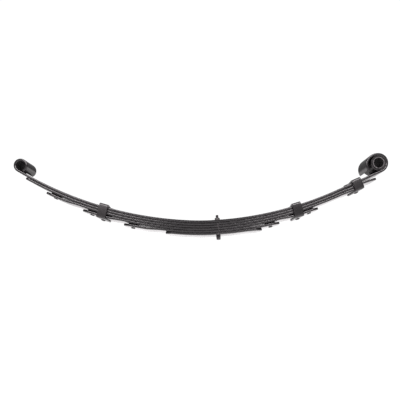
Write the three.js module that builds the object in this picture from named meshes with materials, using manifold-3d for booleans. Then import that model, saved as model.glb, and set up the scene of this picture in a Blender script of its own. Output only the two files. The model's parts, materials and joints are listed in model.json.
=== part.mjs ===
// A six-leaf semi-elliptic road spring for the rear axle of a light truck, in millimetres.
// +X points along the spring to the front (bushed) eye, +Y across the leaves and +Z up.
// The origin is the centre of the centre bolt's head face, which locates the spring on its axle.

import * as THREE from 'three';
import { mergeVertices } from 'three/addons/utils/BufferGeometryUtils.js';
import Module from 'manifold-3d';

const wasm = await Module();
wasm.setup();

// Leaf stock and the clearance between neighbouring pieces
const WIDTH = 60;
const THICKNESS = 8;
const GAP = 0.3;
const PITCH = THICKNESS + GAP;

// Arch of the main leaf's top face. Lengths s run along that face from the centre bolt, and are
// negative to the rear. The front end runs straight after its arc.
const REAR_ARCS = [{ until: 100, radius: 850 }, { until: 900, radius: 1225 }];
const FRONT_ARCS = [{ until: 412, radius: 1170 }, { until: 900, radius: Infinity }];
const SEAT_HALF = 25;
const SEAT_MIDDLE = 10;
const SEAT_RELIEF = 0.02;
const STATION_STEP = 25;

// Eyes: where the leaf's top face meets the bore, the bore's radius, how far the end is rolled,
// and how far its last stretch opens away from the bore
const REAR_EYE = { s: -696, bore: 15, wrap: 305, opening: 0, step: 10 };
const FRONT_EYE = { s: 575.5, bore: 25, wrap: 284, opening: 10.5, step: 8 };
const OPENING_START = 150;

// The leaves under the main leaf: where they end, the length over which their corners are
// trimmed, and the stretches over which they spread away from the leaf above, by how much
const LINER_SPREAD = 3.4;
const LOWER_LEAVES = [
  {
    name: 'second_leaf',
    rear: -660,
    front: 548,
    trim: 5,
    spreads: [
      { side: 1, from: 415, to: 465, by: 2.4 },
      { side: 1, from: 499, to: 575, by: 7 },
    ],
  },
  {
    name: 'third_leaf',
    rear: -584,
    front: 498,
    trim: 20,
    spreads: [{ side: -1, from: 460, to: 515, by: LINER_SPREAD }],
  },
  {
    name: 'fourth_leaf',
    rear: -451,
    front: 337,
    trim: 20,
    spreads: [
      { side: -1, from: 310, to: 362, by: LINER_SPREAD },
      { side: 1, from: 202, to: 252, by: LINER_SPREAD },
    ],
  },
  {
    name: 'fifth_leaf',
    rear: -309,
    front: 202,
    trim: 20,
    spreads: [
      { side: -1, from: 185, to: 240, by: LINER_SPREAD },
      { side: 1, from: 90, to: 144, by: LINER_SPREAD },
    ],
  },
  { name: 'sixth_leaf', rear: -170, front: 142, trim: 20, spreads: [] },
];
const TRIM_SLOPE = 0.7;

// Tip liners: a plastic pad between two leaves, with a stem and a button under the lower leaf
const LINER_INSET = 28;
const LINER_PAD_RADIUS = 18;
const LINER_PAD_CHAMFER = 0.6;
const LINER_STEM_RADIUS = 5.5;
const LINER_BUTTON_RADIUS = 7;
const LINER_BUTTON_HEIGHT = 2.2;
const LINERS = [
  { leaf: 2, end: 'rear' },
  { leaf: 3, end: 'rear' },
  { leaf: 4, end: 'rear' },
  { leaf: 3, end: 'front' },
  { leaf: 4, end: 'front' },
];

// Rebound clips: a strap round the leaves, riveted to the lowest of them
const STRAP_WIDTH = 30;
const STRAP_THICKNESS = 5;
const STRAP_CORNER = 7;
const TAB_END = 5;
const TAB_RISE = 3;
const CLIP_CLEARANCE = 0.4;
const CLIPS = [
  { name: 'rear_clip', s: -383, leaf: 3 },
  { name: 'front_clip', s: 267, leaf: 3 },
  { name: 'front_eye_clip', s: 482, leaf: 2 },
];
const RIVET_RADIUS = 4.5;
const RIVET_SUNK_RADIUS = 7;
const RIVET_SUNK_DEPTH = 3;
const RIVET_HEAD_RADIUS = 7.5;
const RIVET_HEAD_HEIGHT = 4;

// Centre bolt and nut
const BOLT_RADIUS = 4.9;
const BOLT_HOLE_RADIUS = 5.3;
const HEAD_HEIGHT = 14;
const HEAD_TOP_RADIUS = 8;
const HEAD_FACE_RADIUS = 6.8;
const HEAD_CHAMFER = 1.2;
const NUT_ACROSS_FLATS = 15;
const NUT_HEIGHT = 10.5;
const BOLT_ABOVE_LEAF = 20.5;

// Bonded bush in the front eye
const SHELL_THICKNESS = 1.2;
const SHELL_LENGTH = 59;
const SLEEVE_RADIUS = 19.5;
const SLEEVE_BORE_RADIUS = 16.5;
const SLEEVE_LENGTH = 62;
const RUBBER_LENGTH = 60;
const RUBBER_DISH = 1.5;
const SLEEVE_CHAMFER = 0.6;

const TOP_Z = HEAD_HEIGHT + GAP + (LOWER_LEAVES.length + 1) * PITCH - GAP;

const PAINT = new THREE.MeshStandardMaterial({ color: 0x2c292b, roughness: 0.42, metalness: 0.1 });
const FASTENER = new THREE.MeshStandardMaterial({ color: 0x232122, roughness: 0.5, metalness: 0.3 });
const PLASTIC = new THREE.MeshStandardMaterial({ color: 0x141414, roughness: 0.6, metalness: 0 });
const RUBBER = new THREE.MeshStandardMaterial({ color: 0x0d0d0e, roughness: 0.75, metalness: 0 });
const STEEL = new THREE.MeshStandardMaterial({ color: 0x5a5556, roughness: 0.38, metalness: 0.8 });

// ---------------------------------------------------------------- solids

function toSolid(geometry) {
  const bare = geometry.clone();
  bare.deleteAttribute('normal');
  bare.deleteAttribute('uv');
  const merged = mergeVertices(bare, 1e-4);
  const vertProperties = new Float32Array(merged.attributes.position.array);
  const triVerts = new Uint32Array(merged.index.array);
  return new wasm.Manifold(new wasm.Mesh({ numProp: 3, vertProperties, triVerts }));
}

function toGeometry(solid) {
  const mesh = solid.getMesh();
  const geometry = new THREE.BufferGeometry();
  geometry.setAttribute('position', new THREE.BufferAttribute(mesh.vertProperties, 3));
  geometry.setIndex(new THREE.BufferAttribute(mesh.triVerts, 1));
  geometry.computeVertexNormals();
  return geometry;
}

// An outline in X and Z, extruded across Y and centred on it
function acrossY(points, width) {
  const shape = new THREE.Shape(points.map(([x, z]) => new THREE.Vector2(x, z)));
  const geometry = new THREE.ExtrudeGeometry(shape, { depth: width, bevelEnabled: false });
  geometry.rotateX(Math.PI / 2);
  geometry.translate(0, width / 2, 0);
  return geometry;
}

// A turned piece on the Z axis, from [radius, height] points that run upwards
function turnedZ(points, segments) {
  const profile = points.map(([r, z]) => new THREE.Vector2(r, z));
  const geometry = new THREE.LatheGeometry(profile, segments);
  geometry.rotateX(Math.PI / 2);
  return geometry;
}

// A ring round the Y axis, from a closed [radius, y] outline that runs anticlockwise
function ringY(points, segments) {
  const profile = [...points, points[0]].map(([r, y]) => new THREE.Vector2(r, y));
  return new THREE.LatheGeometry(profile, segments);
}

// ---------------------------------------------------------------- the arch

// How far the top face has run forward and risen after a length, and its slope there
function follow(arcs, length) {
  let [run, rise, slope, from] = [0, 0, 0, 0];
  for (const arc of arcs) {
    const part = Math.min(length, arc.until) - from;
    if (part <= 0) break;
    const turn = part / arc.radius;
    const chord = turn === 0 ? part : (2 * Math.sin(turn / 2) * part) / turn;
    run += chord * Math.cos(slope + turn / 2);
    rise += chord * Math.sin(slope + turn / 2);
    slope += turn;
    from = arc.until;
  }
  return { run, rise, slope };
}

function slopeAt(s) {
  return s < 0 ? -follow(REAR_ARCS, -s).slope : follow(FRONT_ARCS, s).slope;
}

// The point at a depth below the main leaf's top face, square to it. The seat is flat, apart from
// a slight relief across its middle, round the bolt hole.
function archPoint(s, depth) {
  if (Math.abs(s) < SEAT_HALF) {
    const [x, z] = archPoint(s < 0 ? -SEAT_HALF : SEAT_HALF, depth);
    return [(Math.abs(x) * s) / SEAT_HALF, z - SEAT_RELIEF];
  }
  const arcs = s < 0 ? REAR_ARCS : FRONT_ARCS;
  const { run, rise } = follow(arcs, Math.abs(s));
  const angle = slopeAt(s);
  const x = Math.sign(s) * run + depth * Math.sin(angle);
  return [x, TOP_Z + rise - follow(arcs, SEAT_HALF).rise - depth * Math.cos(angle)];
}

// A frame on the arch: X along the leaf to the front, Y across it and Z out of its top face
function archFrame(s, depth) {
  const [x, z] = archPoint(s, depth);
  const frame = new THREE.Matrix4().makeRotationY(-slopeAt(s));
  return frame.setPosition(x, 0, z);
}

// Lengths at which the leaves have a section, the same ones for every leaf, and closer together
// where a leaf spreads
function stations(from, to) {
  const spreads = LOWER_LEAVES.flatMap((leaf) => leaf.spreads);
  const inner = [];
  for (let i = -58; i <= 58; i += 1) {
    const s = (i * STATION_STEP) / 2;
    const spreading = spreads.some((item) => s * item.side > item.from && s * item.side < item.to);
    if (s === 0) inner.push(-SEAT_MIDDLE, SEAT_MIDDLE);
    else if ((i % 2 === 0 || spreading) && s > from + 3 && s < to - 3) inner.push(s);
  }
  return [from, ...inner, to];
}

function smooth(t) {
  const u = Math.min(1, Math.max(0, t));
  return u * u * (3 - 2 * u);
}

// ---------------------------------------------------------------- leaves

// The depth of a leaf's top face: the leaves above it, and all the spreads down to it
function leafDepth(index, s) {
  const spreads = LOWER_LEAVES.slice(0, index).flatMap((leaf) => leaf.spreads);
  const spread = ({ side, from, to, by }) => by * smooth((s * side - from) / (to - from));
  return index * PITCH + spreads.reduce((sum, item) => sum + spread(item), 0);
}

function leafOutline(index) {
  const leaf = LOWER_LEAVES[index - 1];
  const sections = stations(leaf.rear, leaf.front);
  const face = (side) => sections.map((s) => archPoint(s, leafDepth(index, s) + side));
  return [...face(THICKNESS), ...face(0).reverse()];
}

// The prism that trims one corner of a leaf's end, along X from the end and out of it
function cornerCutter(length) {
  const half = WIDTH / 2;
  const depth = length * TRIM_SLOPE;
  const over = 2;
  const shape = new THREE.Shape([
    new THREE.Vector2(-length - over / TRIM_SLOPE, half + over),
    new THREE.Vector2(over, half - depth - over * TRIM_SLOPE),
    new THREE.Vector2(over, half + over),
  ]);
  const height = 6 * THICKNESS;
  const geometry = new THREE.ExtrudeGeometry(shape, { depth: height, bevelEnabled: false });
  return geometry.translate(0, 0, -height / 2);
}

function trimEnds(solid, index) {
  const leaf = LOWER_LEAVES[index - 1];
  let trimmed = solid;
  for (const [s, turn] of [[leaf.rear, Math.PI], [leaf.front, 0]]) {
    const frame = archFrame(s, leafDepth(index, s) + THICKNESS / 2);
    for (const flip of [0, Math.PI]) {
      const cutter = cornerCutter(leaf.trim);
      cutter.rotateX(flip);
      cutter.rotateZ(turn);
      cutter.applyMatrix4(frame);
      trimmed = trimmed.subtract(toSolid(cutter));
    }
  }
  return trimmed;
}

function drill(solid, profile, frame) {
  return solid.subtract(toSolid(turnedZ(profile, 24).applyMatrix4(frame)));
}

function boltHole(solid) {
  const end = TOP_Z + BOLT_ABOVE_LEAF;
  const hole = [[0, -5], [BOLT_HOLE_RADIUS, -5], [BOLT_HOLE_RADIUS, end], [0, end]];
  return drill(solid, hole, new THREE.Matrix4());
}

function linerPlace(liner) {
  const leaf = LOWER_LEAVES[liner.leaf - 1];
  const s = liner.end === 'rear' ? leaf.rear + LINER_INSET : leaf.front - LINER_INSET;
  return archFrame(s, leafDepth(liner.leaf, s));
}

function rivetPlace(clip) {
  return archFrame(clip.s, leafDepth(clip.leaf, clip.s));
}

function linerHole() {
  const radius = LINER_STEM_RADIUS + 0.4;
  return [[0, -THICKNESS - 3], [radius, -THICKNESS - 3], [radius, 3], [0, 3]];
}

// The liner's profile, from the leaf's top face
function linerProfile() {
  const under = -THICKNESS - GAP;
  const top = LINER_SPREAD;
  return [
    [0, under - LINER_BUTTON_HEIGHT],
    [LINER_BUTTON_RADIUS - 1.5, under - LINER_BUTTON_HEIGHT],
    [LINER_BUTTON_RADIUS, under - LINER_BUTTON_HEIGHT * 0.4],
    [LINER_BUTTON_RADIUS, under],
    [LINER_STEM_RADIUS, under],
    [LINER_STEM_RADIUS, GAP],
    [LINER_PAD_RADIUS, GAP],
    [LINER_PAD_RADIUS, top - LINER_PAD_CHAMFER],
    [LINER_PAD_RADIUS - LINER_PAD_CHAMFER, top],
    [0, top],
  ];
}

// The rivet's profile: sunk flush in the leaf's top face, headed under the strap
function rivetProfile(clear) {
  const sunk = RIVET_SUNK_RADIUS + clear;
  const shank = RIVET_RADIUS + clear;
  const low = -THICKNESS - CLIP_CLEARANCE - STRAP_THICKNESS - GAP;
  if (clear > 0) {
    return [
      [0, low - 3],
      [shank, low - 3],
      [shank, -RIVET_SUNK_DEPTH - clear],
      [sunk, -GAP - clear],
      [sunk, 1],
      [0, 1],
    ];
  }
  return [
    [0, low - RIVET_HEAD_HEIGHT],
    [RIVET_HEAD_RADIUS * 0.5, low - RIVET_HEAD_HEIGHT * 0.9],
    [RIVET_HEAD_RADIUS * 0.86, low - RIVET_HEAD_HEIGHT * 0.5],
    [RIVET_HEAD_RADIUS, low],
    [shank, low],
    [shank, -RIVET_SUNK_DEPTH],
    [sunk, -GAP],
    [0, -GAP],
  ];
}

function lowerLeaf(index) {
  let solid = toSolid(acrossY(leafOutline(index), WIDTH));
  solid = boltHole(trimEnds(solid, index));
  for (const liner of LINERS.filter((item) => item.leaf === index)) {
    solid = drill(solid, linerHole(), linerPlace(liner));
  }
  for (const clip of CLIPS.filter((item) => item.leaf === index)) {
    solid = drill(solid, rivetProfile(0.4), rivetPlace(clip));
  }
  return toGeometry(solid);
}

function eyeCentre(eye) {
  return archPoint(eye.s, -eye.bore);
}

// One face of a rolled end, from the leaf to its free end: side 0 is the bore, THICKNESS the outside
function rolledEnd(eye, side) {
  const [x, z] = eyeCentre(eye);
  const turn = Math.sign(eye.s);
  const start = slopeAt(eye.s) - Math.PI / 2;
  const points = [];
  const count = Math.round(eye.wrap / eye.step);
  for (let i = 1; i <= count; i += 1) {
    const wrapped = (eye.wrap * i) / count;
    const angle = start + turn * THREE.MathUtils.degToRad(wrapped);
    const opened = eye.opening * smooth((wrapped - OPENING_START) / (eye.wrap - OPENING_START));
    const radius = eye.bore + opened + side;
    points.push([x + radius * Math.cos(angle), z + radius * Math.sin(angle)]);
  }
  return points;
}

function mainLeaf() {
  const face = (side) => [
    ...rolledEnd(REAR_EYE, side).reverse(),
    ...stations(REAR_EYE.s, FRONT_EYE.s).map((s) => archPoint(s, side)),
    ...rolledEnd(FRONT_EYE, side),
  ];
  const outline = [...face(THICKNESS), ...face(0).reverse()];
  return toGeometry(boltHole(toSolid(acrossY(outline, WIDTH))));
}

// ---------------------------------------------------------------- clips and fasteners

// The strap's section across the leaves, in Y and Z, with its ends folded over the top
function strapSection(height) {
  const inner = WIDTH / 2 + CLIP_CLEARANCE;
  const outer = inner + STRAP_THICKNESS;
  const tab = CLIP_CLEARANCE + STRAP_THICKNESS;
  const top = tab + TAB_RISE;
  const bottom = -height - CLIP_CLEARANCE - STRAP_THICKNESS;
  const shape = new THREE.Shape();
  shape.moveTo(-TAB_END, tab);
  shape.lineTo(-TAB_END, CLIP_CLEARANCE);
  shape.lineTo(-inner, CLIP_CLEARANCE + TAB_RISE);
  shape.lineTo(-inner, bottom + STRAP_THICKNESS);
  shape.lineTo(inner, bottom + STRAP_THICKNESS);
  shape.lineTo(inner, CLIP_CLEARANCE + TAB_RISE);
  shape.lineTo(TAB_END, CLIP_CLEARANCE);
  shape.lineTo(TAB_END, tab);
  shape.lineTo(outer - STRAP_CORNER, top);
  shape.absarc(outer - STRAP_CORNER, top - STRAP_CORNER, STRAP_CORNER, Math.PI / 2, 0, true);
  shape.lineTo(outer, bottom + STRAP_CORNER);
  shape.absarc(outer - STRAP_CORNER, bottom + STRAP_CORNER, STRAP_CORNER, 0, -Math.PI / 2, true);
  shape.lineTo(-outer + STRAP_CORNER, bottom);
  shape.absarc(-outer + STRAP_CORNER, bottom + STRAP_CORNER, STRAP_CORNER, -Math.PI / 2, -Math.PI, true);
  shape.lineTo(-outer, top - STRAP_CORNER);
  shape.absarc(-outer + STRAP_CORNER, top - STRAP_CORNER, STRAP_CORNER, Math.PI, Math.PI / 2, true);
  return shape;
}

function clipGeometry(clip) {
  const height = leafDepth(clip.leaf, clip.s) + THICKNESS;
  const options = { depth: STRAP_WIDTH, bevelEnabled: false, curveSegments: 4 };
  const strap = new THREE.ExtrudeGeometry(strapSection(height), options);
  strap.translate(0, 0, -STRAP_WIDTH / 2);
  strap.rotateX(Math.PI / 2);
  strap.rotateZ(Math.PI / 2);
  strap.applyMatrix4(archFrame(clip.s, 0));
  return toGeometry(drill(toSolid(strap), rivetProfile(0.4), rivetPlace(clip)));
}

function rivetGeometry(clip) {
  return turnedZ(rivetProfile(0), 20).applyMatrix4(rivetPlace(clip));
}

function linerGeometry(liner) {
  return turnedZ(linerProfile(), 24).applyMatrix4(linerPlace(liner));
}

function boltGeometry() {
  const end = TOP_Z + BOLT_ABOVE_LEAF;
  const profile = [
    [0, 0],
    [HEAD_FACE_RADIUS - HEAD_CHAMFER, 0],
    [HEAD_FACE_RADIUS, HEAD_CHAMFER],
    [HEAD_TOP_RADIUS, HEAD_HEIGHT],
    [BOLT_RADIUS, HEAD_HEIGHT],
    [BOLT_RADIUS, end - 1.5],
    [BOLT_RADIUS - 1.2, end],
    [0, end],
  ];
  return turnedZ(profile, 24);
}

function nutGeometry() {
  const corner = NUT_ACROSS_FLATS / 2 / Math.cos(Math.PI / 6);
  const blank = new THREE.Shape();
  for (let i = 0; i < 6; i += 1) {
    const angle = (i * Math.PI) / 3;
    const step = i === 0 ? 'moveTo' : 'lineTo';
    blank[step](corner * Math.cos(angle), corner * Math.sin(angle));
  }
  const prism = new THREE.ExtrudeGeometry(blank, { depth: NUT_HEIGHT, bevelEnabled: false });
  const cone = [
    [0, -1],
    [corner + 1, -1],
    [corner + 1, NUT_HEIGHT - 3],
    [corner - 3, NUT_HEIGHT + 1],
    [0, NUT_HEIGHT + 1],
  ];
  const chamfer = turnedZ(cone, 24);
  const seat = new THREE.Matrix4().makeTranslation(0, 0, TOP_Z + GAP);
  const solid = toSolid(prism.applyMatrix4(seat)).intersect(toSolid(chamfer.applyMatrix4(seat)));
  return toGeometry(boltHole(solid));
}

// ---------------------------------------------------------------- bush

function bushRing(inner, outer, length, dish, chamfer) {
  const half = length / 2;
  const outline = [
    [inner + chamfer, -half],
    [(inner + outer) / 2, -half + dish],
    [outer - chamfer, -half],
    [outer, -half + chamfer],
    [outer, half - chamfer],
    [outer - chamfer, half],
    [(inner + outer) / 2, half - dish],
    [inner + chamfer, half],
    [inner, half - chamfer],
    [inner, -half + chamfer],
  ];
  const [x, z] = eyeCentre(FRONT_EYE);
  return ringY(outline, 40).translate(x, 0, z);
}

const SHELL_OUTER = FRONT_EYE.bore - GAP;
const SHELL_INNER = SHELL_OUTER - SHELL_THICKNESS;

// ---------------------------------------------------------------- assembly

const spring = new THREE.Group();

function add(name, geometry, material) {
  const mesh = new THREE.Mesh(geometry, material);
  mesh.name = name;
  spring.add(mesh);
}

add('main_leaf', mainLeaf(), PAINT);
LOWER_LEAVES.forEach((leaf, i) => add(leaf.name, lowerLeaf(i + 1), PAINT));
for (const clip of CLIPS) {
  add(clip.name, clipGeometry(clip), PAINT);
  add(`${clip.name}_rivet`, rivetGeometry(clip), FASTENER);
}
for (const liner of LINERS) {
  const leaf = LOWER_LEAVES[liner.leaf - 1].name;
  add(`${leaf}_${liner.end}_liner`, linerGeometry(liner), PLASTIC);
}
add('centre_bolt', boltGeometry(), FASTENER);
add('centre_bolt_nut', nutGeometry(), FASTENER);
add('bush_shell', bushRing(SHELL_INNER, SHELL_OUTER, SHELL_LENGTH, 0, 0.4), STEEL);
add(
  'bush_rubber',
  bushRing(SLEEVE_RADIUS + GAP, SHELL_INNER - GAP, RUBBER_LENGTH, RUBBER_DISH, 0.4),
  RUBBER,
);
add('bush_sleeve', bushRing(SLEEVE_BORE_RADIUS, SLEEVE_RADIUS, SLEEVE_LENGTH, 0, SLEEVE_CHAMFER), STEEL);

export default spring;
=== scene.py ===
"""A six-leaf road spring with a bushed front eye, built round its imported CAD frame.

Metres, +X along the spring to the front eye, +Y across the leaves and +Z up.
"""

import json
import math

import bmesh
import bpy
from mathutils import Matrix, Vector


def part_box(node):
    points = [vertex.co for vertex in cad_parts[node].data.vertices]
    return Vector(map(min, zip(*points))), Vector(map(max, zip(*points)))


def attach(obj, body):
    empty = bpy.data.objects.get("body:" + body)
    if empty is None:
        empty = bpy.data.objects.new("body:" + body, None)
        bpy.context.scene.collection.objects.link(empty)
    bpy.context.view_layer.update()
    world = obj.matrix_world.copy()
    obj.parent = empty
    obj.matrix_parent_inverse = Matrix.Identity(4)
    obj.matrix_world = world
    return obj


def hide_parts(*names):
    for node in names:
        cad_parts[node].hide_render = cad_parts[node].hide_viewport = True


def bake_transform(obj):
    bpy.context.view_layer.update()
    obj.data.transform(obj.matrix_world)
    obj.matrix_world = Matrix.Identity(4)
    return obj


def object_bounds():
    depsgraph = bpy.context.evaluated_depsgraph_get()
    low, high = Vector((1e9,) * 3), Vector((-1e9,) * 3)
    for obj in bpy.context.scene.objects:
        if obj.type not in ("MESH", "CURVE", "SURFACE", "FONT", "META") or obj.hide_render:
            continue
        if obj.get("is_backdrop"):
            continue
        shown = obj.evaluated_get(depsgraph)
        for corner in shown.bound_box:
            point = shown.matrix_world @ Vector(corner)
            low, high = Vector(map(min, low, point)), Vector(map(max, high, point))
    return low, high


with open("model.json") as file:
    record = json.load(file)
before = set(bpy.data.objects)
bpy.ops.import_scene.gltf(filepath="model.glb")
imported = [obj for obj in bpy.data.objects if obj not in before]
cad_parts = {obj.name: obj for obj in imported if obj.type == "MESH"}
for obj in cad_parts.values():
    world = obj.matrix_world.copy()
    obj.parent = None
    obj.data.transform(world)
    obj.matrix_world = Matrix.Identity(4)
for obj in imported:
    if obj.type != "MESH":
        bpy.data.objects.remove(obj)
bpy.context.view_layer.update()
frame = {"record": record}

MM = 0.001
MOUNTS = {m["name"]: Vector(m["pos_m"]) for m in frame["record"]["mounts"]}

# Leaf stock, and the arch of the main leaf's top face, as (until, radius): lengths s run along
# it from the bolt, negative to the rear
LEAF_LOW, LEAF_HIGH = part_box("main_leaf")
HALF_WIDTH = (LEAF_HIGH.y - LEAF_LOW.y) / 2
THICKNESS = 8 * MM
GAP = 0.3 * MM
PITCH = THICKNESS + GAP
REAR_ARCS = [(100 * MM, 850 * MM), (900 * MM, 1225 * MM)]
FRONT_ARCS = [(412 * MM, 1170 * MM), (900 * MM, math.inf)]
SEAT_HALF = 25 * MM
TOP_Z = MOUNTS["top_plate_seat"].z
EDGE_RADIUS = 3.0 * MM
EDGE_STEPS = 5
EDGE_INNER = 3 * MM
LEAF_STEP = 6 * MM

# Eyes: where the leaf's top meets the bore, its radius, the degrees that it is rolled, and how
# far it opens from OPENING_START degrees on
REAR_EYE = {"s": -696 * MM, "bore": 15 * MM, "wrap": 305, "opening": 0.0}
FRONT_EYE = {"s": 575.5 * MM, "bore": 25 * MM, "wrap": 284, "opening": 10.5 * MM}
OPENING_START = 150
EYE_STEP_DEG = 4

# The lower leaves, in millimetres: their ends, the length of their trimmed corners, and the
# stretches (side, from, to, by) over which they spread away from the leaf above
LINER_SPREAD = 3.4
LEAVES = {
    "second_leaf": {
        "rear": 660,
        "front": 548,
        "trim": 5,
        "spreads": [("front", 415, 465, 2.4), ("front", 499, 575, 7)],
    },
    "third_leaf": {
        "rear": 584,
        "front": 498,
        "trim": 20,
        "spreads": [("rear", 460, 515, LINER_SPREAD)],
    },
    "fourth_leaf": {
        "rear": 451,
        "front": 337,
        "trim": 20,
        "spreads": [("rear", 310, 362, LINER_SPREAD), ("front", 202, 252, LINER_SPREAD)],
    },
    "fifth_leaf": {
        "rear": 309,
        "front": 202,
        "trim": 20,
        "spreads": [("rear", 185, 240, LINER_SPREAD), ("front", 90, 144, LINER_SPREAD)],
    },
    "sixth_leaf": {"rear": 170, "front": 142, "trim": 20, "spreads": []},
}
# What a trimmed corner loses in half width over its length
TRIM_SLOPE = 0.7
END_ROUND = 0.9 * MM

# Holes are radii, and drills are (low, high) along the axis of what they go through
BOLT_HOLE = 5.3 * MM
BOLT_DRILL = (-10 * MM, 90 * MM)
LEAF_DRILL = (-14 * MM, 4 * MM)

# Clips, each riveted to the leaf with this many leaves above it, and their rivets
STRAP_WIDTH = 30 * MM
STRAP_THICKNESS = 5 * MM
STRAP_BEND = 4.5 * MM
STRAP_EDGE = 0.9 * MM
STRAP_CLEARANCE = 0.4 * MM
TAB_END = 5 * MM
TAB_RISE = 3 * MM
TAB_ROUND = 0.7 * MM
STRAP_BEND_STEPS = 6
CLIPS = {
    "rear_clip": {"s": -383 * MM, "leaf": 3},
    "front_clip": {"s": 267 * MM, "leaf": 3},
    "front_eye_clip": {"s": 482 * MM, "leaf": 2},
}
RIVET_HOLE = 4.9 * MM
RIVET_SHANK = 4.5 * MM
RIVET_HEAD = 7.5 * MM
RIVET_HEAD_EDGE = 0.6 * MM
RIVET_DOME = 3.4 * MM
RIVET_DOME_STEPS = 8
RIVET_SINK = 6.9 * MM
RIVET_SINK_HOLE = 7.4 * MM
RIVET_SINK_DEPTH = 3 * MM
STRAP_DRILL = (-30 * MM, 4 * MM)

# Tip liners: a button under the leaf, a shank through it and a pad on top, as (leaf, how many
# leaves are above it, side)
LINER_INSET = 28 * MM
LINER_HOLE = 5.9 * MM
LINER_SHANK = 5.4 * MM
LINER_BUTTON = 6.9 * MM
LINER_BUTTON_FACE = 4.2 * MM
LINER_BUTTON_DEPTH = 2.2 * MM
LINER_BUTTON_ROUND = 1.4 * MM
LINER_PAD = 18 * MM
LINER_PAD_ROUND = 0.5 * MM
LINERS = [
    ("third_leaf", 2, "rear"),
    ("fourth_leaf", 3, "rear"),
    ("fifth_leaf", 4, "rear"),
    ("fourth_leaf", 3, "front"),
    ("fifth_leaf", 4, "front"),
]

# For each half of the pack: its body, and the stretch from beside the seat to its eye
BENDS = {
    "front": ("front_half", Vector((0.05, 0, 0)), Vector((0.52, 0, 0))),
    "rear": ("rear_half", Vector((-0.05, 0, 0)), Vector((-0.615, 0, 0))),
}


# ---------------------------------------------------------------- the arch


def follow(arcs, length):
    """How far the top face has run and risen after a length, and its slope there."""
    run, rise, slope, start = 0.0, 0.0, 0.0, 0.0
    for until, radius in arcs:
        part = min(length, until) - start
        if part <= 0:
            break
        turn = part / radius
        chord = 2 * math.sin(turn / 2) * part / turn if turn else part
        run += chord * math.cos(slope + turn / 2)
        rise += chord * math.sin(slope + turn / 2)
        slope += turn
        start = until
    return run, rise, slope


def slope_at(s):
    return -follow(REAR_ARCS, -s)[2] if s < 0 else follow(FRONT_ARCS, s)[2]


def smooth(t):
    t = min(1.0, max(0.0, t))
    return t * t * (3 - 2 * t)


def arch_point(s, depth):
    """The point at a depth below the main leaf's top face, square to it."""
    if abs(s) < SEAT_HALF:
        return Vector((s, 0, TOP_Z - depth))
    arcs = REAR_ARCS if s < 0 else FRONT_ARCS
    run, rise, angle = follow(arcs, abs(s))
    angle = math.copysign(angle, s)
    x = math.copysign(run, s) + depth * math.sin(angle)
    z = rise - follow(arcs, SEAT_HALF)[1] - depth * math.cos(angle)
    return Vector((x, 0, TOP_Z + z))


def leaf_depth(index, s):
    """The depth of a leaf's top face: the leaves above it, and all the spreads down to it."""
    depth = index * PITCH
    for leaf in list(LEAVES.values())[:index]:
        for side, start, end, by in leaf["spreads"]:
            along = s / MM * (-1 if side == "rear" else 1)
            depth += by * MM * smooth((along - start) / (end - start))
    return depth


def normal_at(s):
    if abs(s) < SEAT_HALF:
        return Vector((0, 0, 1))
    return Vector((-math.sin(slope_at(s)), 0, math.cos(slope_at(s))))


def arch_place(s, depth):
    """X along the leaf, Y across it and Z out of its top face."""
    angle = 0 if abs(s) < SEAT_HALF else slope_at(s)
    return Matrix.Translation(arch_point(s, depth)) @ Matrix.Rotation(-angle, 4, "Y")


def rivet_place(clip):
    return arch_place(clip["s"], leaf_depth(clip["leaf"], clip["s"]))


def eye_centre(eye):
    return arch_point(eye["s"], -eye["bore"])


def bend(obj, side):
    body, start, end = BENDS[side]
    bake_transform(obj)
    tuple(start)
    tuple(end)


# ---------------------------------------------------------------- materials


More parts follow.
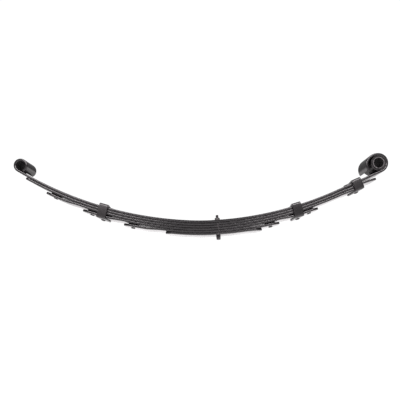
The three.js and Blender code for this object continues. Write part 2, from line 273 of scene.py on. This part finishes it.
class Nodes:
    """A material's node tree, with short calls for the nodes used here."""

    def __init__(self, name):
        self.material = bpy.data.materials.new(name)
        self.material.use_nodes = True
        self.tree = self.material.node_tree
        self.shader = self.tree.nodes["Principled BSDF"]

    def node(self, kind, **values):
        node = self.tree.nodes.new(kind)
        for key, value in values.items():
            if key in node.inputs:
                node.inputs[key].default_value = value
            else:
                setattr(node, key, value)
        return node

    def link(self, out, into):
        self.tree.links.new(out, into)

    def place(self, scale):
        """The piece's stored rest coordinates, scaled along each axis."""
        rest = self.node("ShaderNodeAttribute", attribute_name="rest")
        mapping = self.node("ShaderNodeMapping")
        mapping.inputs["Scale"].default_value = scale
        self.link(rest.outputs["Vector"], mapping.inputs["Vector"])
        return mapping.outputs["Vector"]

    def noise(self, scale, detail=4.0, rough=0.55, stretch=(1, 1, 1)):
        noise = self.node("ShaderNodeTexNoise", Scale=scale, Detail=detail, Roughness=rough)
        self.link(self.place(stretch), noise.inputs["Vector"])
        return noise.outputs["Fac"]

    def ramp(self, value, low, high, a=0.0, b=1.0):
        out = self.node("ShaderNodeMapRange", clamp=True)
        self.link(value, out.inputs["Value"])
        out.inputs["From Min"].default_value = low
        out.inputs["From Max"].default_value = high
        out.inputs["To Min"].default_value = a
        out.inputs["To Max"].default_value = b
        return out.outputs["Result"]

    def multiply(self, a, b):
        out = self.node("ShaderNodeMath", operation="MULTIPLY", use_clamp=False)
        self.link(a, out.inputs[0])
        self.link(b, out.inputs[1])
        return out.outputs["Value"]

    def mix(self, factor, a, b):
        out = self.node("ShaderNodeMix", data_type="RGBA")
        self.link(factor, out.inputs["Factor"])
        for name, value in (("A", a), ("B", b)):
            socket = [s for s in out.inputs if s.name == name and s.type == "RGBA"][0]
            if isinstance(value, tuple):
                socket.default_value = (*value, 1)
            else:
                self.link(value, socket)
        return [s for s in out.outputs if s.type == "RGBA"][0]

    def wear(self, low, high):
        """1 on worn edges, which on the bush sleeve also carry a painted highlight: the piece's own
        edge mask, broken up by noise.
        """
        edge = self.node("ShaderNodeAttribute", attribute_name="edge")
        broken = self.multiply(edge.outputs["Fac"], self.noise(90, 5, 0.65))
        return self.ramp(broken, low, high)

    def bump(self, height, strength, distance, after=None):
        bump = self.node("ShaderNodeBump", Strength=strength, Distance=distance)
        self.link(height, bump.inputs["Height"])
        if after is not None:
            self.link(after, bump.inputs["Normal"])
        return bump.outputs["Normal"]

    def finish(self, color, rough, normal, **values):
        """Links what varies over the surface, and sets what is the same all over it."""
        self.link(color, self.shader.inputs["Base Color"])
        self.link(rough, self.shader.inputs["Roughness"])
        self.link(normal, self.shader.inputs["Normal"])
        for key, value in values.items():
            self.shader.inputs[key.replace("_", " ")].default_value = value
        return self.material


def paint(name, dark, light, worn, rough, cloud_scale):
    """Satin black paint over rolled steel, thin and scuffed along the edges."""
    n = Nodes(name)
    cloud = n.ramp(n.noise(cloud_scale, 5, 0.6, (0.25, 1, 1)), 0.32, 0.7)
    color = n.mix(cloud, dark, light)
    scuffs = n.ramp(n.noise(150, 3, 0.6, (0.08, 1, 1)), 0.7, 0.85, 0.0, 0.3)
    color = n.mix(scuffs, color, tuple(c * 1.6 for c in light))
    color = n.mix(n.wear(0.46, 0.7), color, worn)
    smear = n.noise(14, 3, 0.5, (0.3, 1, 1))
    roughness = n.ramp(smear, 0.3, 0.7, rough - 0.05, rough + 0.07)
    scale_pits = n.bump(n.noise(420, 2, 0.5), 0.06, 0.0002)
    waves = n.bump(n.noise(26, 2, 0.5, (0.3, 1, 1)), 0.1, 0.0008, scale_pits)
    return n.finish(color, roughness, waves)


def metal(name, dark, light, worn, rough, grain):
    """Phosphated or blackened steel with turned or drawn marks, bare along its edges. On the bush
    sleeve the lighter edge colour is also a painted highlight on its chamfered rim.
    """
    n = Nodes(name)
    color = n.mix(n.ramp(n.noise(60, 5, 0.6), 0.3, 0.7), dark, light)
    color = n.mix(n.wear(0.3, 0.5), color, worn)
    roughness = n.ramp(n.noise(140, 4, 0.6, grain), 0.3, 0.7, rough - 0.1, rough + 0.12)
    marks = n.bump(n.noise(700, 2, 0.5, grain), 0.2, 0.0002)
    return n.finish(color, roughness, marks, Metallic=0.6)


def moulded(name, dark, light, rough, grain_scale):
    """Moulded rubber or plastic: dull, faintly grained, with a little dust."""
    n = Nodes(name)
    color = n.mix(n.ramp(n.noise(70, 5, 0.6), 0.35, 0.75), dark, light)
    roughness = n.ramp(n.noise(180, 3, 0.6), 0.3, 0.7, rough - 0.08, rough + 0.08)
    grain = n.bump(n.noise(grain_scale, 3, 0.6), 0.3, 0.0002)
    return n.finish(color, roughness, grain)


def scale_and_painted_shade(name, dark, light, rough):
    """Dull black scale inside a bore, near black as painted shade in the hollow."""
    n = Nodes(name)
    color = n.mix(n.ramp(n.noise(60, 5, 0.6), 0.3, 0.7), dark, light)
    roughness = n.ramp(n.noise(140, 4, 0.6), 0.3, 0.7, rough - 0.07, rough + 0.07)
    flakes = n.bump(n.noise(500, 3, 0.6), 0.2, 0.0002)
    return n.finish(color, roughness, flakes, Specular_IOR_Level=0.12)


LEAF_PAINT = paint(
    "leaf_paint",
    dark=(0.006, 0.005, 0.0056),
    light=(0.014, 0.012, 0.0135),
    worn=(0.06, 0.052, 0.055),
    rough=0.2,
    cloud_scale=7,
)
CLIP_PAINT = paint(
    "clip_paint",
    dark=(0.006, 0.005, 0.0055),
    light=(0.015, 0.013, 0.014),
    worn=(0.05, 0.044, 0.046),
    rough=0.26,
    cloud_scale=18,
)
FASTENER = metal(
    "fastener_steel",
    dark=(0.03, 0.028, 0.03),
    light=(0.07, 0.065, 0.068),
    worn=(0.09, 0.085, 0.085),
    rough=0.42,
    grain=(1, 1, 5),
)
# The sleeve's lighter worn colour on its chamfers is wear and also a painted highlight on the rim
# of its end
BUSH_STEEL_AND_RIM_HIGHLIGHT = metal(
    "bush_steel",
    dark=(0.01, 0.009, 0.0095),
    light=(0.024, 0.022, 0.023),
    worn=(0.1, 0.093, 0.095),
    rough=0.4,
    grain=(1, 6, 1),
)
SHELL_STEEL = metal(
    "shell_steel",
    dark=(0.008, 0.007, 0.0075),
    light=(0.018, 0.016, 0.017),
    worn=(0.05, 0.045, 0.047),
    rough=0.4,
    grain=(1, 6, 1),
)
# Inside the bores: dull scale, made near black as painted shade in the hollow
BORE_SCALE_AND_SHADE = scale_and_painted_shade(
    "bore_scale_and_shade",
    dark=(0.005, 0.0045, 0.005),
    light=(0.013, 0.0115, 0.012),
    rough=0.75,
)
LINER_PLASTIC = moulded(
    "liner_plastic",
    dark=(0.008, 0.008, 0.008),
    light=(0.018, 0.017, 0.017),
    rough=0.5,
    grain_scale=600,
)
BUSH_RUBBER = moulded(
    "bush_rubber",
    dark=(0.004, 0.004, 0.0045),
    light=(0.01, 0.0095, 0.0095),
    rough=0.62,
    grain_scale=420,
)


# ---------------------------------------------------------------- meshes

# How far a vertex's shell factor is over 1 where its edge counts as fully worn, and on the bush
# sleeve as fully lit by the painted rim highlight
EDGE_SHELL = 0.03


def solid(name, verts, faces):
    """A mesh object in the scene, with its faces turned outwards."""
    mesh = bpy.data.meshes.new(name)
    mesh.from_pydata([tuple(v) for v in verts], [], faces)
    bm = bmesh.new()
    bm.from_mesh(mesh)
    bmesh.ops.recalc_face_normals(bm, faces=bm.faces)
    bm.to_mesh(mesh)
    bm.free()
    obj = bpy.data.objects.new(name, mesh)
    bpy.context.scene.collection.objects.link(obj)
    return obj


def piece(name, verts, faces, material, smooth_deg=38):
    """A solid with its material and slot. Edges sharper than smooth_deg stay sharp."""
    obj = solid(name, verts, faces)
    obj.data.materials.append(material)
    obj["smooth_deg"] = smooth_deg
    return obj


def mark_surface(obj):
    """Sets smooth shading and the attributes that the materials read. It comes after all cuts."""
    mesh = obj.data
    mesh.shade_smooth()
    mesh.set_sharp_from_angle(angle=math.radians(obj["smooth_deg"]))
    rest = mesh.attributes.new("rest", "FLOAT_VECTOR", "POINT")
    rest.data.foreach_set("vector", [c for v in mesh.vertices for c in v.co])
    bm = bmesh.new()
    bm.from_mesh(mesh)
    sharpness = [min(1.0, (v.calc_shell_factor() - 1) / EDGE_SHELL) for v in bm.verts]
    bm.free()
    edge = mesh.attributes.new("edge", "FLOAT", "POINT")
    edge.data.foreach_set("value", sharpness)


def blacken_bore(obj, centre, radius):
    """Gives the faces inside a bore across Y their dull scale, near black as painted shade in the
    hollow.
    """
    obj.data.materials.append(BORE_SCALE_AND_SHADE)
    for face in obj.data.polygons:
        if math.hypot(face.center.x - centre.x, face.center.z - centre.z) < radius:
            face.material_index = 1


def cut(obj, *cutters):
    """Subtracts each cutter object from the mesh, then deletes it."""
    for cutter in cutters:
        modifier = obj.modifiers.new("cut", "BOOLEAN")
        modifier.operation = "DIFFERENCE"
        modifier.solver = "EXACT"
        modifier.object = cutter
        bpy.context.view_layer.update()
        evaluated = obj.evaluated_get(bpy.context.evaluated_depsgraph_get())
        mesh = bpy.data.meshes.new_from_object(evaluated)
        obj.modifiers.clear()
        obj.data = mesh
        bpy.data.objects.remove(cutter)
    obj.data.name = obj.name
    return obj


def band(low, high):
    """The faces between two rings of vertices. A ring on the axis repeats one vertex."""
    faces = []
    for k in range(len(low)):
        j = (k + 1) % len(low)
        faces.append(tuple(dict.fromkeys((low[k], low[j], high[j], high[k]))))
    return faces


def rounded_section(half_u, half_v, radius, inner, steps):
    """Points round a rectangle with rounded corners, with extra ones beside each corner."""
    points = []
    for corner in range(4):
        su = 1 if corner in (0, 3) else -1
        sv = 1 if corner in (0, 1) else -1
        for k in range(steps + 1):
            angle = math.radians(90 * (corner + k / steps))
            u = su * (half_u - radius) + radius * math.cos(angle)
            v = sv * (half_v - radius) + radius * math.sin(angle)
            points.append((u, v))
        flat = half_u - radius - inner
        if corner in (0, 2):
            points += [(su * flat, sv * half_v), (-su * flat, sv * half_v)]
        else:
            points.append((su * half_u, 0.0))
    return points


def sweep(sections, radius, inner, steps=3):
    """Vertices and faces of a bar. A section is (middle, u, v, half_u, half_v)."""
    verts, faces = [], []
    for middle, u, v, half_u, half_v in sections:
        r = min(radius, half_u * 0.8, half_v * 0.8)
        for a, b in rounded_section(half_u, half_v, r, min(inner, half_u * 0.5), steps):
            verts.append(middle + u * a + v * b)
    count = len(verts) // len(sections)
    rings = [range(i * count, (i + 1) * count) for i in range(len(sections))]
    for low, high in zip(rings, rings[1:]):
        faces += band(low, high)
    faces += [tuple(rings[0]), tuple(rings[-1])]
    return verts, faces


def lathe(profile, place, segments=48):
    """Vertices and faces of a turned solid. The profile is (radius, height) from one end of
    its axis to the other, or the outline of a ring if no point is on the axis."""
    verts, faces, rows = [], [], []
    for r, h in profile:
        if r < 1e-9:
            rows.append([len(verts)] * segments)
            verts.append(place @ Vector((0, 0, h)))
            continue
        rows.append(list(range(len(verts), len(verts) + segments)))
        for k in range(segments):
            a = 2 * math.pi * k / segments
            verts.append(place @ Vector((r * math.cos(a), r * math.sin(a), h)))
    closed = all(r > 1e-9 for r, _ in profile)
    for i in range(len(rows) if closed else len(rows) - 1):
        faces += band(rows[i], rows[(i + 1) % len(rows)])
    return verts, faces


def ringed(rings, sides, closed):
    """Vertices and faces round Z. A ring is a function from the share of a turn to (radius, z)."""
    verts, rows, faces = [], [], []
    for ring in rings:
        rows.append(range(len(verts), len(verts) + sides))
        for k in range(sides):
            a = 2 * math.pi * k / sides
            r, z = ring(k / sides)
            verts.append((r * math.cos(a), r * math.sin(a), z))
    for low, high in zip(rows, rows[1:]):
        faces += band(low, high)
    faces += band(rows[-1], rows[0]) if closed else [tuple(rows[0]), tuple(rows[-1])]
    return verts, faces


def drill(radius, low, high, place):
    """A plain cylinder object to cut a hole with."""
    verts, faces = lathe([(0, low), (radius, low), (radius, high), (0, high)], place, 32)
    return solid("drill", verts, faces)


def round_off(radius, height, corner, turn, steps=4):
    """Points of a quarter-round corner at (radius, height), from angle turn to turn + 90."""
    points = []
    for k in range(steps + 1):
        a = math.radians(turn + 90 * k / steps)
        points.append((radius + corner * math.cos(a), height + corner * math.sin(a)))
    return points


# ---------------------------------------------------------------- leaves


def lengths(reach):
    """Evenly spaced lengths from the bolt to just before an end."""
    count = math.ceil((reach - SEAT_HALF) / LEAF_STEP)
    even = [SEAT_HALF + (reach - SEAT_HALF) * i / count for i in range(count)]
    return [0.0, SEAT_HALF / 2] + even


def end_rounding():
    """(how far back, how far in) for the sections of a rounded end, as shares of its radius."""
    angles = [math.radians(30 * k) for k in range(1, 4)]
    return [(1 - math.sin(a), 1 - math.cos(a)) for a in angles]


def end_sections(section, reach, trim):
    """The last sections of a leaf's half: the trimmed corners, then a rounded end."""
    steps = []
    for back in (trim, trim * 0.5, END_ROUND * 1.6):
        steps.append(section(reach - back, HALF_WIDTH - TRIM_SLOPE * (trim - back), 0))
    for share_back, share_in in end_rounding():
        back = END_ROUND * share_back
        half_width = HALF_WIDTH - TRIM_SLOPE * (trim - back)
        steps.append(section(reach - back, half_width, END_ROUND * share_in))
    return steps


def leaf_half(name, leaf, index, side):
    """Half of a lower leaf. Its index counts the leaves above it."""
    sign = -1 if side == "rear" else 1
    reach = leaf[side] * MM

    def section(s, half_width, inset):
        depth = leaf_depth(index, sign * s)
        tilt = (leaf_depth(index, sign * (s + MM)) - depth) / MM
        middle = arch_point(sign * s, depth + THICKNESS / 2)
        turned = Matrix.Rotation(sign * math.atan(tilt), 3, "Y") @ normal_at(sign * s)
        return (middle, Vector((0, 1, 0)), turned, half_width - inset, THICKNESS / 2 - inset)

    trim = leaf["trim"] * MM
    sections = [section(s, HALF_WIDTH, 0) for s in lengths(reach) if s < reach - trim - 2 * MM]
    sections += end_sections(section, reach, trim)
    verts, faces = sweep(sections, EDGE_RADIUS, EDGE_INNER, EDGE_STEPS)
    obj = piece(f"{name}_{side}", verts, faces, LEAF_PAINT)
    holes = [drill(BOLT_HOLE, *BOLT_DRILL, Matrix())]
    if (name, index, side) in LINERS:
        s = sign * (reach - LINER_INSET)
        holes.append(drill(LINER_HOLE, *LEAF_DRILL, arch_place(s, leaf_depth(index, s))))
    for clip in CLIPS.values():
        if clip["leaf"] == index and clip["s"] * sign > 0:
            place = rivet_place(clip)
            holes.append(drill(RIVET_HOLE, *LEAF_DRILL, place))
            holes.append(drill(RIVET_SINK_HOLE, -RIVET_SINK_DEPTH, LEAF_DRILL[1], place))
    return cut(obj, *holes)


def main_half(side):
    """Half of the main leaf: along the arch, then round its eye."""
    eye = REAR_EYE if side == "rear" else FRONT_EYE
    sign = -1 if side == "rear" else 1
    reach = abs(eye["s"])
    across = Vector((0, 1, 0))
    half = THICKNESS / 2
    sections = []
    for s in lengths(reach) + [reach]:
        sections.append((arch_point(sign * s, half), across, normal_at(sign * s), HALF_WIDTH, half))
    centre = eye_centre(eye)
    start = slope_at(eye["s"]) - math.pi / 2
    end_deg = END_ROUND / (eye["bore"] + half) * 180 / math.pi
    count = round((eye["wrap"] - end_deg) / EYE_STEP_DEG)
    turns = [((eye["wrap"] - end_deg) * i / count, 0.0) for i in range(1, count + 1)]
    for share_back, share_in in end_rounding():
        turns.append((eye["wrap"] - end_deg * share_back, END_ROUND * share_in))
    for wrapped, inset in turns:
        angle = start + sign * math.radians(wrapped)
        opened = eye["opening"] * smooth((wrapped - OPENING_START) / (eye["wrap"] - OPENING_START))
        out = Vector((math.cos(angle), 0, math.sin(angle)))
        middle = centre + out * (eye["bore"] + opened + half)
        sections.append((middle, across, -out, HALF_WIDTH - inset, half - inset))
    verts, faces = sweep(sections, EDGE_RADIUS, EDGE_INNER, EDGE_STEPS)
    obj = piece(f"main_leaf_{side}", verts, faces, LEAF_PAINT)
    cut(obj, drill(BOLT_HOLE, *BOLT_DRILL, Matrix()))
    # The rear eye's bore gets the dull scale, near black as painted shade
    if side == "rear":
        blacken_bore(obj, centre, eye["bore"] + 0.5 * MM)
    return obj


for side in ("rear", "front"):
    halves = {"main_leaf": main_half(side)}
    for number, (name, leaf) in enumerate(LEAVES.items(), start=1):
        halves[name] = leaf_half(name, leaf, number, side)
    for name, obj in halves.items():
        mark_surface(obj)
        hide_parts(name)
        bend(obj, side)


# ---------------------------------------------------------------- clips


def strap_path(height):
    """(y, z, outward direction in degrees) along the strap, from one tab's end to the other's."""
    reach = HALF_WIDTH + STRAP_CLEARANCE + STRAP_THICKNESS / 2
    top = STRAP_CLEARANCE + STRAP_THICKNESS / 2
    bottom = -height - STRAP_CLEARANCE - STRAP_THICKNESS / 2
    r = STRAP_BEND
    fall = math.degrees(math.atan(TAB_RISE / (reach - r - TAB_END)))
    corners = [
        (-reach + r, top + TAB_RISE - r, 90 + fall, 90 - fall),
        (-reach + r, bottom + r, 180, 90),
        (reach - r, bottom + r, 270, 90),
        (reach - r, top + TAB_RISE - r, 0, 90 - fall),
    ]
    path = [(-TAB_END, top, 90 + fall), (-TAB_END - 1 * MM, top, 90 + fall)]
    for y, z, turn, sweep_deg in corners:
        for k in range(STRAP_BEND_STEPS + 1):
            a = turn + sweep_deg * k / STRAP_BEND_STEPS
            path.append((y + r * math.cos(math.radians(a)), z + r * math.sin(math.radians(a)), a))
    path += [(TAB_END + 1 * MM, top, 90 - fall), (TAB_END, top, 90 - fall)]
    return path


def clip_strap(name, clip):
    place = arch_place(clip["s"], 0)
    turn = place.to_3x3()
    sections = []
    for y, z, a in strap_path(leaf_depth(clip["leaf"], clip["s"]) + THICKNESS):
        out = Vector((0, math.cos(math.radians(a)), math.sin(math.radians(a))))
        inset = TAB_ROUND if abs(abs(y) - TAB_END) < 1e-9 and z > 0 else 0
        sections.append((
            place @ Vector((0, y, z)),
            turn @ Vector((1, 0, 0)),
            turn @ out,
            STRAP_WIDTH / 2 - inset,
            STRAP_THICKNESS / 2 - inset,
        ))
    verts, faces = sweep(sections, STRAP_EDGE, 2 * MM)
    obj = piece(f"{name}_strap", verts, faces, CLIP_PAINT)
    return cut(obj, drill(RIVET_HOLE, *STRAP_DRILL, rivet_place(clip)))


def rivet(name, clip):
    """A domed head under the strap, a shank, and a flat head sunk into the leaf."""
    low = -THICKNESS - STRAP_CLEARANCE - STRAP_THICKNESS - GAP
    profile = [(0, low - RIVET_HEAD_EDGE - RIVET_DOME)]
    for k in range(1, RIVET_DOME_STEPS + 1):
        a = math.radians(90 * k / RIVET_DOME_STEPS)
        height = low - RIVET_HEAD_EDGE - RIVET_DOME * math.cos(a)
        profile.append((RIVET_HEAD * math.sin(a), height))
    profile += [(RIVET_HEAD, low), (RIVET_SHANK, low), (RIVET_SHANK, -RIVET_SINK_DEPTH - 0.2 * MM)]
    profile += [(RIVET_SINK, -0.7 * MM), (RIVET_SINK, -GAP), (0, -GAP)]
    verts, faces = lathe(profile, rivet_place(clip), 40)
    return piece(f"{name}_rivet_turned", verts, faces, FASTENER)


for name, clip in CLIPS.items():
    side = "rear" if clip["s"] < 0 else "front"
    for obj, node in ((clip_strap(name, clip), name), (rivet(name, clip), f"{name}_rivet")):
        mark_surface(obj)
        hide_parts(node)
        bend(obj, side)


# ---------------------------------------------------------------- tip liners


def tip_liner(leaf_name, index, side):
    sign = -1 if side == "rear" else 1
    s = sign * (LEAVES[leaf_name][side] * MM - LINER_INSET)
    under = -THICKNESS - GAP
    face = under - LINER_BUTTON_DEPTH
    button = [(0, face), (LINER_BUTTON_FACE, face)]
    button += round_off(LINER_SHANK, face + LINER_BUTTON_ROUND, LINER_BUTTON_ROUND, -90)
    button += [(LINER_BUTTON, under), (LINER_SHANK, under)]
    top = LINER_SPREAD * MM
    rim = LINER_PAD - LINER_PAD_ROUND
    pad = [(LINER_SHANK, GAP)]
    pad += round_off(rim, GAP + LINER_PAD_ROUND, LINER_PAD_ROUND, -90, 3)
    pad += round_off(rim, top - LINER_PAD_ROUND, LINER_PAD_ROUND, 0, 3)
    pad += [(0, top)]
    verts, faces = lathe(button + pad, arch_place(s, leaf_depth(index, s)), 48)
    name = f"{leaf_name}_{side}_liner"
    obj = piece(f"{name}_moulded", verts, faces, LINER_PLASTIC)
    mark_surface(obj)
    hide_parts(name)
    bend(obj, side)


for liner in LINERS:
    tip_liner(*liner)


# ---------------------------------------------------------------- centre bolt and nut

THREAD_PITCH = 1.5 * MM
THREAD_DEPTH = 0.75 * MM
THREAD_RADIUS = 4.9 * MM
THREAD_START = TOP_Z - 5.5 * MM
THREAD_FADE = 2 * MM
THREAD_POINT = 1.3 * MM
THREAD_POINT_SLOPE = 0.8
STEPS_PER_PITCH = 6
BOLT_SIDES = 48
BOLT_HEAD = 14 * MM
NUT_SIDES = 72
NUT_BORE = 5.1 * MM
NUT_CHAMFER = 0.5 * MM
NUT_FACE = 0.3 * MM


def plain_ring(radius, z):
    return lambda turn: (radius, z)


def thread_ring(z, end):
    """A ring of the thread: its groove winds up the bolt, and its point tapers to the end."""
    fade = min(1.0, (z - THREAD_START) / THREAD_FADE)
    taper = max(0.0, (z - (end - THREAD_POINT)) * THREAD_POINT_SLOPE)

    def ring(turn):
        phase = (z / THREAD_PITCH - turn) % 1
        groove = fade * THREAD_DEPTH * abs(2 * phase - 1)
        return THREAD_RADIUS - groove - taper, z

    return ring


def centre_bolt():
    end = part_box("centre_bolt")[1].z
    head = [(5.2 * MM, 0.0), (5.9 * MM, 0.25 * MM), (6.55 * MM, 0.8 * MM), (6.85 * MM, 1.5 * MM)]
    head += [(7.9 * MM, BOLT_HEAD - 0.8 * MM), (7.75 * MM, BOLT_HEAD - 0.15 * MM)]
    head += [(7.5 * MM, BOLT_HEAD)]
    shank = [(THREAD_RADIUS, BOLT_HEAD), (THREAD_RADIUS, THREAD_START - 0.5 * MM)]
    rings = [plain_ring(radius, z) for radius, z in head + shank]
    steps = round((end - THREAD_START) / (THREAD_PITCH / STEPS_PER_PITCH))
    for i in range(steps + 1):
        rings.append(thread_ring(THREAD_START + (end - THREAD_START) * i / steps, end))
    verts, faces = ringed(rings, BOLT_SIDES, closed=False)
    obj = piece("centre_bolt_threaded", verts, faces, FASTENER, 50)
    mark_surface(obj)
    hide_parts("centre_bolt")
    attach(obj, "root")


def centre_nut():
    low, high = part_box("centre_bolt_nut")
    flat = (high.y - low.y) / 2
    washer = flat * 0.95
    slope = math.tan(math.radians(30))

    def hexagon_ring(z, rising):
        """The hexagon's edge where the 30 degree cone round the washer face cuts it."""

        def ring(turn):
            to_flat = (360 * turn) % 60 - 30
            corner = flat / math.cos(math.radians(to_flat))
            return corner, z + rising * (corner - washer) * slope

        return ring

    rings = [
        plain_ring(NUT_BORE, low.z + NUT_CHAMFER),
        plain_ring(NUT_BORE + NUT_CHAMFER, low.z),
        plain_ring(washer, low.z),
        plain_ring(washer, low.z + NUT_FACE),
        hexagon_ring(low.z + NUT_FACE, 1),
        hexagon_ring(high.z, -1),
        plain_ring(washer, high.z),
        plain_ring(NUT_BORE + NUT_CHAMFER, high.z),
        plain_ring(NUT_BORE, high.z - NUT_CHAMFER),
    ]
    verts, faces = ringed(rings, NUT_SIDES, closed=True)
    obj = piece("centre_bolt_nut_hexagon", verts, faces, FASTENER, 24)
    mark_surface(obj)
    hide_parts("centre_bolt_nut")
    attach(obj, "root")


centre_bolt()
centre_nut()


# ---------------------------------------------------------------- bush


SLEEVE_WALL = 3 * MM
SLEEVE_CHAMFER = 0.6 * MM
SHELL_WALL = 1.2 * MM
INSIDE_END = 2 * MM
RUBBER_STEPS = 8
RUBBER_DISH = 2.4 * MM
RUBBER_PROUD = 0.2 * MM


def round_size(node):
    """The radius and the half length of a round CAD node that lies along Y."""
    low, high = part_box(node)
    return (high.x - low.x) / 2, (high.y - low.y) / 2


def bush_ring(name, node, half_profile, material, body):
    """A ring of the bush, from (radius, height) of its upper half, outer side first."""
    low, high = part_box("bush_sleeve")
    place = Matrix.Translation((low + high) / 2) @ Matrix.Rotation(math.radians(90), 4, "X")
    profile = half_profile + [(r, -h) for r, h in reversed(half_profile)]
    verts, faces = lathe(profile, place, 96)
    obj = piece(name, verts, faces, material, 30)
    mark_surface(obj)
    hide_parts(node)
    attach(obj, body)
    return obj


def bush_sleeve():
    outer, end = round_size("bush_sleeve")
    bore = outer - SLEEVE_WALL
    tube = [(outer, end - INSIDE_END), (outer, end - SLEEVE_CHAMFER)]
    tube += [(outer - SLEEVE_CHAMFER, end), (bore + SLEEVE_CHAMFER, end)]
    tube += [(bore, end - SLEEVE_CHAMFER), (bore, end - INSIDE_END)]
    obj = bush_ring(
        "bush_sleeve_turned", "bush_sleeve", tube, BUSH_STEEL_AND_RIM_HIGHLIGHT, "bush_inner"
    )
    # The sleeve's bore gets the dull scale, near black as painted shade
    blacken_bore(obj, eye_centre(FRONT_EYE), bore + 0.1 * MM)


def bush_shell():
    outer, end = round_size("bush_shell")
    inner = outer - SHELL_WALL
    can = [(outer, end - INSIDE_END), (outer, end - 0.5 * MM), (outer - 0.4 * MM, end)]
    can += [(outer - 0.9 * MM, end), (inner, end - 0.3 * MM), (inner, end - INSIDE_END)]
    bush_ring("bush_shell_pressed", "bush_shell", can, SHELL_STEEL, "front_half")


def bush_rubber():
    shell, end = round_size("bush_shell")
    outer = shell - SHELL_WALL - GAP
    inner = round_size("bush_sleeve")[0] + GAP
    rubber = []
    for k in range(RUBBER_STEPS + 1):
        t = k / RUBBER_STEPS
        dish = RUBBER_DISH * math.sin(math.pi * t) ** 0.7
        rubber.append((outer + (inner - outer) * t, end + RUBBER_PROUD - dish))
    bush_ring(
        "bush_rubber_moulded", "bush_rubber", rubber, BUSH_RUBBER, "front_half"
    )


bush_sleeve()
bush_shell()
bush_rubber()


# ---------------------------------------------------------------- stage, light and camera

FLOOR_DROP = 0.55
FLOOR_HALF = 60.0
FLOOR_GLOW = 0.72
WORLD_LIGHT = 0.35
WORLD_SEEN = 1.05
LIGHT_COLOR = (1, 0.95, 0.97)
LENS = 28.7
SHIFT = (-0.0225, 0.2)
CAMERA_ROLL_DEG = 4
CAMERA_X = -0.0426
CAMERA_FROM_SIDE = 1.062
CAMERA_BELOW_TOP = 0.199


def stage():
    """A pale floor, and a world that is white in view and dimmer as light."""
    mesh = bpy.data.meshes.new("floor")
    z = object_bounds()[0][2] - FLOOR_DROP
    corners = [(x * FLOOR_HALF, y * FLOOR_HALF, z) for x, y in ((-1, -1), (1, -1), (1, 1), (-1, 1))]
    mesh.from_pydata(corners, [], [(0, 1, 2, 3)])
    floor = bpy.data.objects.new("floor", mesh)
    n = Nodes("floor_paper")
    n.shader.inputs["Base Color"].default_value = (0.9, 0.9, 0.9, 1)
    n.shader.inputs["Roughness"].default_value = 0.9
    n.shader.inputs["Emission Color"].default_value = (1, 1, 1, 1)
    n.shader.inputs["Emission Strength"].default_value = FLOOR_GLOW
    mesh.materials.append(n.material)
    bpy.context.scene.collection.objects.link(floor)
    floor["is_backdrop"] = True
    world = bpy.data.worlds.new("studio")
    world.use_nodes = True
    tree = world.node_tree
    background = tree.nodes["Background"]
    background.inputs["Color"].default_value = (1, 1, 1, 1)
    seen = tree.nodes.new("ShaderNodeLightPath")
    strength = tree.nodes.new("ShaderNodeMapRange")
    tree.links.new(seen.outputs["Is Camera Ray"], strength.inputs["Value"])
    strength.inputs["To Min"].default_value = WORLD_LIGHT
    strength.inputs["To Max"].default_value = WORLD_SEEN
    tree.links.new(strength.outputs["Result"], background.inputs["Strength"])
    bpy.context.scene.world = world


def softbox(name, place, target, size, power):
    light = bpy.data.lights.new(name, "AREA")
    light.shape = "RECTANGLE"
    light.size, light.size_y = size
    light.energy = power
    light.color = LIGHT_COLOR
    obj = bpy.data.objects.new(name, light)
    obj.location = place
    obj.rotation_euler = (Vector(target) - Vector(place)).to_track_quat("-Z", "Y").to_euler()
    obj.visible_camera = False
    bpy.context.scene.collection.objects.link(obj)


stage()
softbox("key_rear", (-0.95, -2.0, 1.7), (-0.3, 0, 0.1), (1.2, 1.0), 60)
softbox("key_front", (0.95, -2.0, 1.7), (0.3, 0, 0.1), (1.2, 1.0), 60)
softbox("top", (0, 0.4, 2.2), (0, 0, 0), (2.0, 1.0), 4)
softbox("low_back", (0, 2.6, 0.0), (0, 0, 0.1), (6.0, 0.9), 16)


def camera():
    """Looks square to the near side, from below the seat, rolled as the photo is."""
    data = bpy.data.cameras.new("camera")
    data.lens = LENS
    data.sensor_width = 36
    data.shift_x, data.shift_y = SHIFT
    obj = bpy.data.objects.new("camera", data)
    roll = math.radians(CAMERA_ROLL_DEG)
    right = Vector((math.cos(roll), 0, -math.sin(roll)))
    up = Vector((math.sin(roll), 0, math.cos(roll)))
    back = Vector((0, -1, 0))
    turn = Matrix((right, up, back)).transposed().to_4x4()
    spot = Vector((CAMERA_X, -HALF_WIDTH - CAMERA_FROM_SIDE, TOP_Z - CAMERA_BELOW_TOP))
    obj.matrix_world = Matrix.Translation(spot) @ turn
    bpy.context.scene.collection.objects.link(obj)
    bpy.context.scene.camera = obj


camera()
bpy.context.scene.view_settings.view_transform = "Standard"
